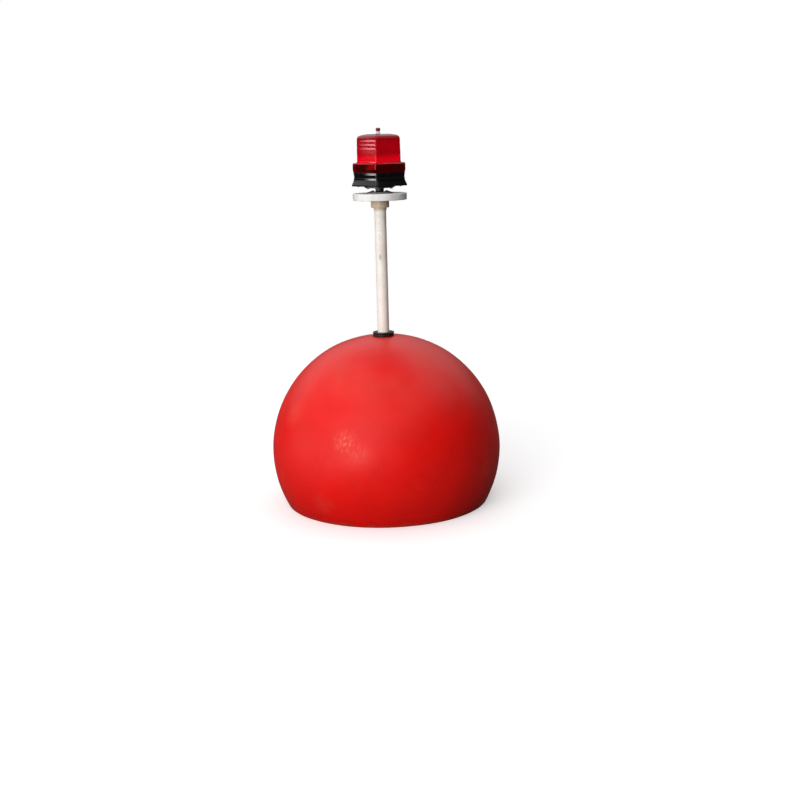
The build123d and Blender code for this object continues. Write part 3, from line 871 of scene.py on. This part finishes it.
class BUOY_OT_pole(BuoyOperator, bpy.types.Operator):
    """Build the pipe and the bead of solvent cement under the bush"""
    bl_idname = "buoy.pole"
    bl_label = "Pole"

    def build(self, settings):
        pole = settings.pole
        low, high, outer = span("pole_pipe")
        inner, edge = pole.bore / 2, pole.chamfer
        finish = pipe_finish(pole)
        tube = lathe([(outer, low, edge), (outer, high, edge), (inner, high, 0), (inner, low, 0)])
        piece("pole_tube", "pole_pipe", tube, finish)
        rings = []
        for step in range(10):
            bend = math.tau * step / 10
            level = pole.bead_level + 1.6 * pole.bead * math.sin(bend)
            ring = circle(outer + pole.bead * math.cos(bend), level, 128)
            rings.append([point + Vector((0, 0, 0.5 * MM * noise.noise(point * 120))) for point in ring])
        piece("cement_bead", None, skin(rings, closed=True), finish)


def slid_over(node, bore, edge, waist=0.0, draft=0.0):
    """A fitting on the pipe with the height and diameter of its CAD node, slimmer by waist in its middle and
    wider by draft at its parting line."""
    low, high, outer = span(node)
    middle = (low + high) / 2
    corners = [(outer - draft, low, edge)]
    if waist:
        inset = (high - low) / 3
        start, end = middle - inset / 2, middle + inset / 2
        corners += [(outer, start, edge), (outer - waist, middle, inset), (outer, end, edge)]
    if draft:
        corners += [(outer, middle, 0.4 * MM)]
    return lathe([*corners, (outer - draft, high, edge), (bore / 2, high, CRISP), (bore / 2, low, CRISP)])


class BUOY_OT_seals(BuoyOperator, bpy.types.Operator):
    """Build the rubber rings on the ball's two flats"""
    bl_idname = "buoy.seals"
    bl_label = "Seal rings"

    def build(self, settings):
        fittings = settings.fittings
        finish = rubber_finish(fittings)
        for node in ("top_seal_ring", "bottom_seal_ring"):
            mesh = slid_over(node, fittings.bore, fittings.seal_edge, waist=fittings.seal_waist)
            piece(f"rubber_{node}", node, mesh, finish)


def grub_screws(name, node, settings, number=2, level=0.5, turn=0.3):
    """Adds hexagon-socket grub screws let into a collar's side."""
    low, high, outer = span(node)
    head = screw_head(settings.fittings.grub / 2, 0.6 * MM, hex_recess)
    head = moved(head, (outer - FINE, 0, low + (high - low) * level), math.pi / 2, "Y")
    steel = shared(STAINLESS, stainless_finish, settings.lamp)
    piece(name, None, around(number, head, turn), steel)


class BUOY_OT_ballast(BuoyOperator, bpy.types.Operator):
    """Build the collars, the iron discs and the cap under the ball"""
    bl_idname = "buoy.ballast"
    bl_label = "Ballast"

    def build(self, settings):
        ballast, fittings = settings.ballast, settings.fittings
        iron = iron_finish(ballast)
        for number in (1, 2, 3):
            node = f"ballast_disc_{number}"
            mesh = slid_over(node, fittings.bore, ballast.edge, draft=ballast.draft)
            piece(f"iron_disc_{number}", node, mesh, iron)
        plastic = shared(IVORY_PVC, ivory_finish, fittings)
        for node in ("lock_collar", "stop_collar"):
            mesh = slid_over(node, fittings.bore, fittings.edge, draft=0.3 * MM)
            piece(f"moulded_{node}", node, mesh, plastic)
            grub_screws(f"{node}_screws", node, settings)
        low, high, outer = span("pole_end_cap")
        bore, hole, floor = fittings.bore / 2, fittings.eye_hole / 2, low + fittings.cap_floor
        cap = lathe([
            (outer - 1.5 * MM, low, 2.5 * MM), (outer - 0.4 * MM, high - 5 * MM, EASED),
            (outer, high - 4 * MM, EASED), (outer, high, FULL), (bore, high, EASED),
            (bore, floor, EASED), (hole, floor, 0), (hole, low, CRISP),
        ])
        piece("moulded_end_cap", "pole_end_cap", cap, plastic)


class BUOY_OT_mooring(BuoyOperator, bpy.types.Operator):
    """Build the eye bolt, the bow shackle and its pin"""
    bl_idname = "buoy.mooring"
    bl_label = "Mooring"

    def build(self, settings):
        mooring = settings.mooring
        zinc = zinc_finish(mooring)
        for node, body in (("mooring_eye", BUOY), ("mooring_shackle", SHACKLE), ("shackle_pin", SHACKLE)):
            softened(f"forged_{node}", node, zinc, body, mooring.grain, mooring.softness)


class BUOY_OT_head_fittings(BuoyOperator, bpy.types.Operator):
    """Build the bush, the collar and the round plate at the pole's head"""
    bl_idname = "buoy.head_fittings"
    bl_label = "Head fittings"

    def build(self, settings):
        fittings = settings.fittings
        plastic = shared(IVORY_PVC, ivory_finish, fittings)
        bush = slid_over("head_bush", fittings.bore, FULL)
        piece("moulded_bush", "head_bush", bush, plastic)
        low, high, outer = span("head_collar")
        stud, bore, ledge = settings.lamp.stud / 2, fittings.bore / 2, high - fittings.ledge
        collar = lathe([
            (outer - EASED, low, fittings.edge), (outer, low + 3 * MM, FULL), (outer, high, fittings.edge),
            (stud, high, 0), (stud, ledge, 0), (bore, ledge, CRISP), (bore, low, EASED),
        ])
        piece("moulded_collar", "head_collar", collar, plastic)
        grub_screws("collar_screw", "head_collar", settings, number=1, level=0.3, turn=1.3)
        self.build_plate(fittings, stud)

    def build_plate(self, fittings, stud):
        low, high, outer = span("lamp_plate")
        top = low + fittings.rim_height
        ceiling = top - fittings.plate_thickness
        inner = outer - fittings.rim_wall
        plate = lathe([
            (outer - EASED, low, 1.4 * MM), (outer, top, 2.2 * MM), (fittings.boss_foot / 2, top, 4 * MM),
            (fittings.boss_top / 2, high, 2 * MM), (stud, high, CRISP), (stud, ceiling, 0),
            (inner, ceiling, 2 * MM), (inner + 0.6 * MM, low, FULL),
        ], 192)
        hub = fittings.rib_start
        depth = ceiling - low - 2 * MM
        # A rib is let this far into the plate above it, and half as far into the rim
        let_in = 1 * MM
        rib = eased_box((inner - hub + let_in, fittings.rib_thickness, depth + let_in), EASED)
        rib = moved(rib, ((inner + hub) / 2, 0, ceiling - depth / 2 + let_in / 2))
        ribs = around(fittings.rib_count, rib, 0.2)
        finish = moulded_finish("Moulded grey-white ABS", fittings.plate_white, fittings.worn_plate, 0.3)
        piece("moulded_plate", "lamp_plate", joined([plate, ribs]), finish)


class BUOY_OT_lamp_foot(BuoyOperator, bpy.types.Operator):
    """Build the winged foot, the post, the seat disc and its screws"""
    bl_idname = "buoy.lamp_foot"
    bl_label = "Lamp foot"

    def build(self, settings):
        lamp = settings.lamp
        coated = coated_finish(lamp)
        steel = shared(STAINLESS, stainless_finish, lamp)
        softened("pressed_foot", "lamp_foot", coated, BUOY, lamp.foot_grain, lamp.foot_softness)

        low, high, _ = span("lamp_post")
        foot = span("lamp_foot")[0] + lamp.foot_height
        half, stud = lamp.post_flats / 2, lamp.stud / 2
        ease, slope = 1.5 * MM, 1.2 * MM
        outline = rounded([
            (half - ease, foot, 0), (half, foot + slope, SOFT),
            (half, high - slope, SOFT), (half - ease, high, 0),
        ])
        sections = [prism_ring(6, across, FULL, level, turn=0.15, side_steps=5) for across, level in outline]
        points = len(sections[0])
        ends = circle(0, low, 1), circle(stud, low, points), circle(stud, foot, points), circle(0, high, 1)
        post = skin([*ends[:3], *sections, ends[3]])
        piece("hexagonal_post", "lamp_post", post, coated)

        washer, hole, under = lamp.washer / 2, lamp.washer_hole / 2, high - lamp.washer_thickness
        ring = lathe([(washer, under, CRISP), (washer, high, CRISP), (hole, high, 0), (hole, under, 0)], 64)
        piece("post_washer", None, ring, steel)

        low, high, outer = span("lamp_seat_disc")
        hole, step = 4 * MM, low + 0.8 * MM
        disc = lathe([
            (hole, low, 0), (outer - 4 * MM, low, FULL), (outer - 3 * MM, step, FULL), (outer, step, FULL),
            (outer, high, SOFT), (hole, high, 0),
        ])
        black = shared(BLACK_ABS, black_finish, lamp)
        piece("moulded_seat_disc", "lamp_seat_disc", disc, black)

        low, high, _ = span("seat_screws")
        heads = hanging_screws(lamp, lamp.screw_head, high - low, lamp.screw_radius, high)
        piece("seat_screw_heads", "seat_screws", heads, steel)


def hanging_screws(lamp, head, height, radius, level):
    """Cross-recessed screw heads that look down, one under each corner of the lamp."""
    mesh = moved(screw_head(head / 2, height, cross_recess), (radius, 0, level), math.pi, "X")
    return around(LAMP_SIDES, mesh, lamp.turn - math.pi / LAMP_SIDES)


def square_shell(corners, form, turn, full, closed=False):
    """A mesh through square sections that follow an outline. Their corners and the bulge of their sides are
    as form's settings say, and sections slimmer than full have smaller corners."""
    rings = []
    for across, height in rounded(corners, closed):
        if across < 1e-7:
            rings.append(circle(0, height, 1))
            continue
        corner = max(min(form.corner, form.corner + across - full), 1.2 * MM)
        rings.append(prism_ring(LAMP_SIDES, across, corner, height, turn, form.bow, 16, 8))
    return skin(rings, closed)


class BUOY_OT_housing(BuoyOperator, bpy.types.Operator):
    """Build the black housing with its flared skirt, and the plate that closes it"""
    bl_idname = "buoy.housing"
    bl_label = "Housing"

    def build(self, settings):
        lamp = settings.lamp
        low, high, _ = span("lamp_housing")
        edge, rim, waist = lamp.edge, lamp.skirt / 2, lamp.waist / 2
        skirt_top = low + lamp.skirt_height
        groove_low = skirt_top + lamp.lower_band
        groove_high = groove_low + lamp.groove
        inside = waist - lamp.wall
        groove = waist - lamp.groove_depth
        ceiling = high - lamp.wall
        housing = square_shell([
            (0, ceiling, 0), (inside, ceiling, 1.5 * MM), (inside, low, 0.4 * MM),
            (rim - lamp.rim_lean, low, edge), (rim, low + lamp.skirt_rim, edge),
            (lamp.knee / 2, low + lamp.knee_height, 12 * MM),
            (waist, skirt_top, FULL), (waist, groove_low, FINE),
            (groove - lamp.groove_lean, groove_low + CRISP, FINE), (groove, groove_high - CRISP, FINE),
            (waist, groove_high, FINE), (waist, high, edge), (0, high, 0),
        ], lamp, lamp.turn, waist)
        black = shared(BLACK_ABS, black_finish, lamp)
        steel = shared(STAINLESS, stainless_finish, lamp)
        piece("moulded_housing", "lamp_housing", housing, black)
        carried_over("lamp_base_plate", black)
        heads = hanging_screws(lamp, lamp.base_screw_head, 1.6 * MM, lamp.base_screw_radius, low)
        piece("base_plate_screws", None, heads, steel)


class BUOY_OT_cover(BuoyOperator, bpy.types.Operator):
    """Build the dark red cover, and the solar panels and frame behind it"""
    bl_idname = "buoy.cover"
    bl_label = "Cover and panels"

    def build(self, settings):
        lamp, lens = settings.lamp, settings.lens
        low, high, _ = span("tinted_cover")
        wall, lip = lamp.cover_wall, lamp.cover_edge
        foot, side, mouth = lamp.cover_foot / 2, lamp.cover / 2, lens.side / 2 - lens.wall
        wide, under = low + lamp.cover_foot_height, high - wall
        cover = square_shell([
            (foot, low + SEAM, CRISP), (side, wide, 10 * MM), (side - lamp.cover_lean, high - lip, SOFT),
            (side - lip, high, SOFT), (mouth, high, CRISP), (mouth, under, CRISP), (side - wall, under, FULL),
            (side - wall, wide, 10 * MM), (foot - wall, low + SEAM, CRISP),
        ], lamp, lamp.turn, side, closed=True)
        # Painted light: the cover is given a faint glow in its own red, though it is no lamp
        red = clear_finish(
            "Dark red polycarbonate", lamp.cover_red, lens.deep_red, 0.03, clarity=1.0, glow=0.02,
            mirrored=lens.sheen_pink,
        )
        piece("moulded_cover", "tinted_cover", cover, red)
        carried_over("panel_frame", shared(BLACK_ABS, black_finish, lamp))
        self.build_panels(lamp)

    def build_panels(self, lamp):
        cells = cell_finish(lamp)
        steel = shared(STAINLESS, stainless_finish, lamp)
        low, high, _ = span("solar_panel_1")
        height, wide, thick = high - low, lamp.panel_length, lamp.conductor_thickness
        slab = eased_box((lamp.panel_thickness, wide, height), 0.25 * MM)
        slab = moved(slab, (-lamp.panel_thickness / 2, 0, 0))
        strip = eased_box((thick, lamp.conductor, height - 1.6 * MM), 0.03 * MM)
        bar = eased_box((thick, wide - 3 * MM, lamp.bar), 0.03 * MM)
        pitch = wide / lamp.cell_count
        strips = [
            moved(strip, (0, pitch * (i - lamp.cell_count / 2), 0)) for i in range(1, lamp.cell_count)
        ]
        bars = [moved(bar, (0, 0, level)) for level in (-lamp.bar_level, lamp.bar_level)]
        face = (lamp.panel_face, 0, (low + high) / 2)
        slab, conductors = moved(slab, face), moved(joined([*strips, *bars]), face)
        for number in range(1, LAMP_SIDES + 1):
            turn = lamp.turn + math.tau * (number - 1) / LAMP_SIDES
            panel, wires = moved(slab, turn=turn), moved(conductors, turn=turn)
            piece(f"cells_{number}", f"solar_panel_{number}", panel, cells)
            piece(f"conductors_{number}", None, wires, steel)


class BUOY_OT_light(BuoyOperator, bpy.types.Operator):
    """Build the light column and its diodes"""
    bl_idname = "buoy.light"
    bl_label = "Light"

    def build(self, settings):
        lamp = settings.lamp
        low, high, _ = span("light_column")
        half, radius, top = lamp.column / 2, lamp.bulb / 2, lamp.bulb_height
        outline = rounded([(half, low, 0), (half, high, SOFT), (0, high, 0)])
        rings = [prism_ring(LAMP_SIDES, across, SOFT, level, lamp.turn) for across, level in outline[:-1]]
        column = skin([circle(0, low, 1), *rings, circle(0, high, 1)])
        piece("board_column", "light_column", column, board_finish(lamp))

        leans = (math.pi / 2 * i / 8 for i in range(8))
        dome = [(radius * math.cos(lean), top + radius * math.sin(lean), 0) for lean in leans]
        rim, flange = radius + 0.4 * MM, 1 * MM
        bulb = lathe([
            (0, 0, 0), (rim, 0, 0.1 * MM), (rim, flange, 0.15 * MM), (radius, flange, 0.1 * MM), *dome,
            (0, top + radius, 0),
        ], 24, closed=False)
        rows = []
        for row in range(lamp.bulb_rows):
            level = (low + high) / 2 + (row - (lamp.bulb_rows - 1) / 2) * lamp.bulb_pitch
            rows.append(around(LAMP_SIDES, moved(bulb, (half, 0, level), math.pi / 2, "Y"), lamp.turn))
        resin = clear_finish("Clear diode resin", lamp.resin, lamp.resin_edge, 0.08, ior=1.5)
        piece("diodes", "light_bulbs", joined(rows), resin)


class BUOY_OT_lens(BuoyOperator, bpy.types.Operator):
    """Build the ribbed lens, its stem and its knob"""
    bl_idname = "buoy.lens"
    bl_label = "Lens"

    def build(self, settings):
        lens, turn = settings.lens, settings.lamp.turn
        low, high, _ = span("lamp_lens")
        foot = low + SEAM
        plain = low + lens.flange_height
        ribs = plain + lens.plain
        crown = ribs + lens.rib_count * lens.rib_pitch
        side, flange = lens.side / 2, lens.flange / 2
        inner = self.inside(lens, foot, crown, high)
        outer = [
            (flange, foot, 0.4 * MM), (flange, plain, lens.edge), (side, plain, CRISP),
            (side - lens.plain_lean, ribs - CRISP, 0),
            *self.ribs(lens, ribs),
            (side - lens.draft / 2, crown + 0.05 * MM, FINE),
            (lens.shoulder / 2, crown + lens.shoulder_height, 7 * MM),
            (lens.eaves / 2, crown + lens.eaves_height, 14 * MM),
            (lens.roof / 2, high, 40 * MM), (0, high, 0),
        ]
        # Painted shade: the lens is painted darker above the ribs' foot and again above the crown
        reds, painted_shade = (lens.red, lens.deep_red), (ribs - 2 * MM, crown)
        clear = clear_finish(
            "Red polycarbonate", *reds, 0.02, painted_shade_above=painted_shade, mirrored=lens.sheen_pink
        )
        # Painted light: the etched inside glows faintly in its own red
        etched = clear_finish(
            "Etched red polycarbonate", *reds, lens.frost, 0.45, lens.glow, painted_shade_above=painted_shade
        )
        mesh = square_shell([*inner, *outer], lens, turn, side)
        within = len(square_shell(inner, lens, turn, side)[1])
        made = piece("moulded_lens", "lamp_lens", mesh, (clear, etched), sharp=20)
        for face in made.data.polygons[:within]:
            face.material_index = 1
        self.build_stem(lens)

    @staticmethod
    def inside(lens, foot, crown, high):
        """The inside's corners from the axis to the foot, with prisms behind the ribs."""
        wall = lens.wall
        face, top = lens.side / 2 - wall, lens.shoulder / 2 - wall
        corners = [
            (0, high - wall, 0), (lens.roof / 2 - wall, high - wall, 3 * MM),
            (lens.eaves / 2 - wall, crown + lens.eaves_height - wall, 2 * MM), (top, crown, 2 * MM),
        ]
        prisms = 2 * lens.rib_count
        pitch = lens.rib_count * lens.rib_pitch / prisms
        for prism in range(prisms):
            level = crown - prism * pitch
            across = top + (face - top) * (prism + 1) / prisms
            corners += [(across - lens.prism_depth, level - 0.2 * pitch, FINE), (across, level - pitch, FINE)]
        return [*corners, (face, foot, CRISP)]

    @staticmethod
    def ribs(lens, start, steps=5):
        """The ribs' corners, from the lowest up. Each leans in, and all but the straight ones curve in."""
        corners = []
        narrowing = (lens.draft / 2 - lens.plain_lean) / lens.rib_count
        for rib in range(lens.rib_count):
            across = lens.side / 2 - lens.plain_lean - narrowing * rib + lens.rib_proud
            straight = rib < lens.straight_ribs
            lean, curve = (lens.straight_lean, 0) if straight else (lens.rib_lean, lens.rib_curve)
            for step in range(steps + 1):
                share = step / steps
                ease = 0.12 * MM if step in (0, steps) else 0
                level = start + rib * lens.rib_pitch + lens.rib_pitch * share
                corners.append((across - lean * share - curve * share ** 2, level, ease))
        return corners

    @staticmethod
    def build_stem(lens):
        low, high, foot = span("lens_stem")
        stem = lathe([
            (0, low + SEAM, 0), (foot, low + SEAM, CRISP), (foot * 0.72, low + 1.6 * MM, 3 * MM),
            (foot * 0.49, high, 0), (0, high, 0),
        ], 64, closed=False)
        # Painted highlight: the stem is given a near-white pink in place of the highlight on its cone
        pink = clear_finish("Pale red polycarbonate", lens.stem_highlight_pink, lens.stem_edge, 0.2, clarity=0.5)
        piece("moulded_stem", "lens_stem", stem, pink)
        low, high, outer = span("lens_knob")
        knob = lathe([
            (0, low + SEAM, 0), (outer - FULL, low + SEAM, SOFT), (outer, low + 2.2 * MM, FULL),
            (outer, high - 1.5 * MM, 1.6 * MM), (outer - 2 * MM, high, 1.2 * MM), (0, high, 0),
        ], 64, closed=False)
        dark = moulded_finish("Moulded dark red nylon", lens.knob_red, lens.worn_knob, 0.3, coarse=2)
        piece("moulded_knob", "lens_knob", knob, dark)


class BUOY_OT_stage(BuoyOperator, bpy.types.Operator):
    """Add the floor, the lights and the camera"""
    bl_idname = "buoy.stage"
    bl_label = "Stage"

    def build(self, settings):
        stage = settings.stage
        bpy.context.scene.view_settings.view_transform = "Standard"
        self.add_floor(stage)
        self.add_sky(stage)
        self.add_key_light(stage)
        camera = bpy.data.cameras.new("camera")
        camera.sensor_width = 36
        camera.lens = camera.sensor_width * stage.focal_pixels / stage.picture_width
        bpy.context.scene.camera = shown("camera", camera)
        bpy.context.scene.camera.matrix_world = (
            Matrix.Translation(stage.camera_place)
            @ Matrix.Rotation(math.pi / 2 - stage.pitch, 4, "X")
            @ Matrix.Rotation(-stage.roll, 4, "Z")
        )

    def add_floor(self, stage):
        """A level floor at the waterline. It is pale to the camera and duller to the buoy, and it fades out
        with distance and from below."""
        points, faces = skin([circle(stage.floor_radius * (i / 12) ** 2, 0, 96) for i in range(13)])
        data = bpy.data.meshes.new("floor")
        data.from_pydata(points, [], [tuple(reversed(face)) for face in faces])
        floor = shown("floor", data)
        made = Finish("Pale floor", Roughness=0.7, Specular_IOR_Level=0.2)
        is_seen = made.add("LightPath")
        pale = made.painted(stage.floor_white, (0.06, made.blotches(300, 0.3, 0.7), stage.floor_patch))
        colour = made.painted(stage.floor_seen, (is_seen, pale))
        glow = made.mask(is_seen, stage.floor_glow)
        made.fill(made.shader, {"Base Color": colour, "Emission Strength": glow})
        far = made.add("VectorMath", made.place, output="Value", operation="LENGTH")
        gone = made.mask((far, stage.fade_start, stage.fade_end))
        faces_down = made.add("NewGeometry", output="Backfacing")
        fade = made.add("Math", gone, faces_down, operation="MAXIMUM")
        clear = made.add("BsdfTransparent")
        mix = made.add("MixShader", fade, made.shader.outputs[0], clear)
        made.fill(made.tree.nodes["Material Output"], {"Surface": mix})
        data.materials.append(made.material)

    def add_sky(self, stage):
        """White to the camera. To the buoy it is a soft sky, dark on the right, with three level bands on the
        left that the lamp's smooth side mirrors."""
        world = bpy.data.worlds.new("soft_sky")
        bpy.context.scene.world = world
        world.use_nodes = True
        sky = Nodes(world.node_tree, "Generated")
        right, back, up = sky.add("SeparateXYZ", sky.place, output=None)
        front = sky.add("VectorMath", sky.place, stage.front_way, output="Value", operation="DOT_PRODUCT")
        parts = [
            (stage.left_sky, (right, -0.3, -0.9), (up, 0.2, 0.28)),
            (stage.back_sky, (back, 0.1, 0.8), (up, 0.15, 0.4)),
            (stage.low_back_sky, (back, 0.3, 0.9)),
            (stage.top_sky, (up, 0.35, 0.95)),
            (stage.right_sky, (right, 0.1, 0.6), (up, 0.5, 0.8)),
            (stage.front_sky, (front, 0.8, 0.95)),
        ]
        # How far back each band fades out, and its lowest and highest elevation in degrees
        bands = (
            (stage.low_band, 0.235, 0.16, -3, -0.95),
            (stage.middle_band, 0.31, 0.185, 0.7, 2.5),
            (stage.high_band, 0.31, 0.185, 2.8, 5.3),
        )
        blur = 0.004
        for radiance, end, start, *elevations in bands:
            low, high = (math.sin(math.radians(elevation)) for elevation in elevations)
            edges = (up, low - blur, low + blur), (up, high + blur, high - blur)
            parts.append((radiance, (right, -0.2, -0.35), (back, end, start), *edges))
        strength = stage.low_sky
        for factors in parts:
            strength = sky.add("Math", sky.mask(*factors), strength, operation="ADD")
        seen = sky.tree.nodes["Background"]
        sky.fill(seen, {"Color": linear("FFFFFF"), "Strength": strength})
        white = sky.add("Background", linear("FFFFFF"), 1.0)
        mix = sky.add("MixShader", sky.add("LightPath"), seen.outputs[0], white)
        sky.fill(sky.tree.nodes["World Output"], {"Surface": mix})

    def add_key_light(self, stage):
        """A wide flat light at the front left. Its power is four times its radiance times its area."""
        light = bpy.data.lights.new("key_panel", "AREA")
        light.shape = "RECTANGLE"
        light.size, light.size_y = stage.key_width, stage.key_height
        light.energy = 4 * stage.key_light * light.size * light.size_y
        panel = shown("key_panel", light)
        panel.location = stage.key_place
        panel.rotation_mode = "QUATERNION"
        panel.rotation_quaternion = (Vector(stage.key_aim) - panel.location).to_track_quat("-Z", "Y")
        panel.visible_camera = False
        panel.visible_glossy = False


class BUOY_PT_panel(bpy.types.Panel):
    """Lists the buoy's pieces and their settings"""
    bl_idname = "BUOY_PT_panel"
    bl_label = "Navigation buoy"
    bl_space_type = "VIEW_3D"
    bl_region_type = "UI"
    bl_category = "Buoy"

    def draw(self, context):
        for operator in OPERATORS:
            self.layout.operator(operator.bl_idname)
        for group in BuoySettings.__annotations__:
            settings = getattr(context.scene.buoy, group)
            box = self.layout.box()
            box.label(text=group.capitalize())
            for name in type(settings).__annotations__:
                box.prop(settings, name)


GROUPS = (
    BallSettings, PoleSettings, FittingSettings, BallastSettings, MooringSettings, LampSettings, LensSettings,
    StageSettings, BuoySettings,
)
OPERATORS = (
    BUOY_OT_float_ball, BUOY_OT_pole, BUOY_OT_seals, BUOY_OT_ballast, BUOY_OT_mooring, BUOY_OT_head_fittings,
    BUOY_OT_lamp_foot, BUOY_OT_housing, BUOY_OT_cover, BUOY_OT_light, BUOY_OT_lens, BUOY_OT_stage,
)
CLASSES = (*GROUPS, *OPERATORS, BUOY_PT_panel)


def register():
    """Registers the add-on's classes and its settings."""
    for group in CLASSES:
        bpy.utils.register_class(group)
    bpy.types.Scene.buoy = bpy.props.PointerProperty(type=BuoySettings)


def unregister():
    """Takes them away again."""
    del bpy.types.Scene.buoy
    for group in reversed(CLASSES):
        bpy.utils.unregister_class(group)


def main():
    """Builds everything, in order."""
    register()
    for operator in OPERATORS:
        name = operator.bl_idname.split(".")[1]
        getattr(bpy.ops.buoy, name)()


if __name__ == "__main__":
    main()
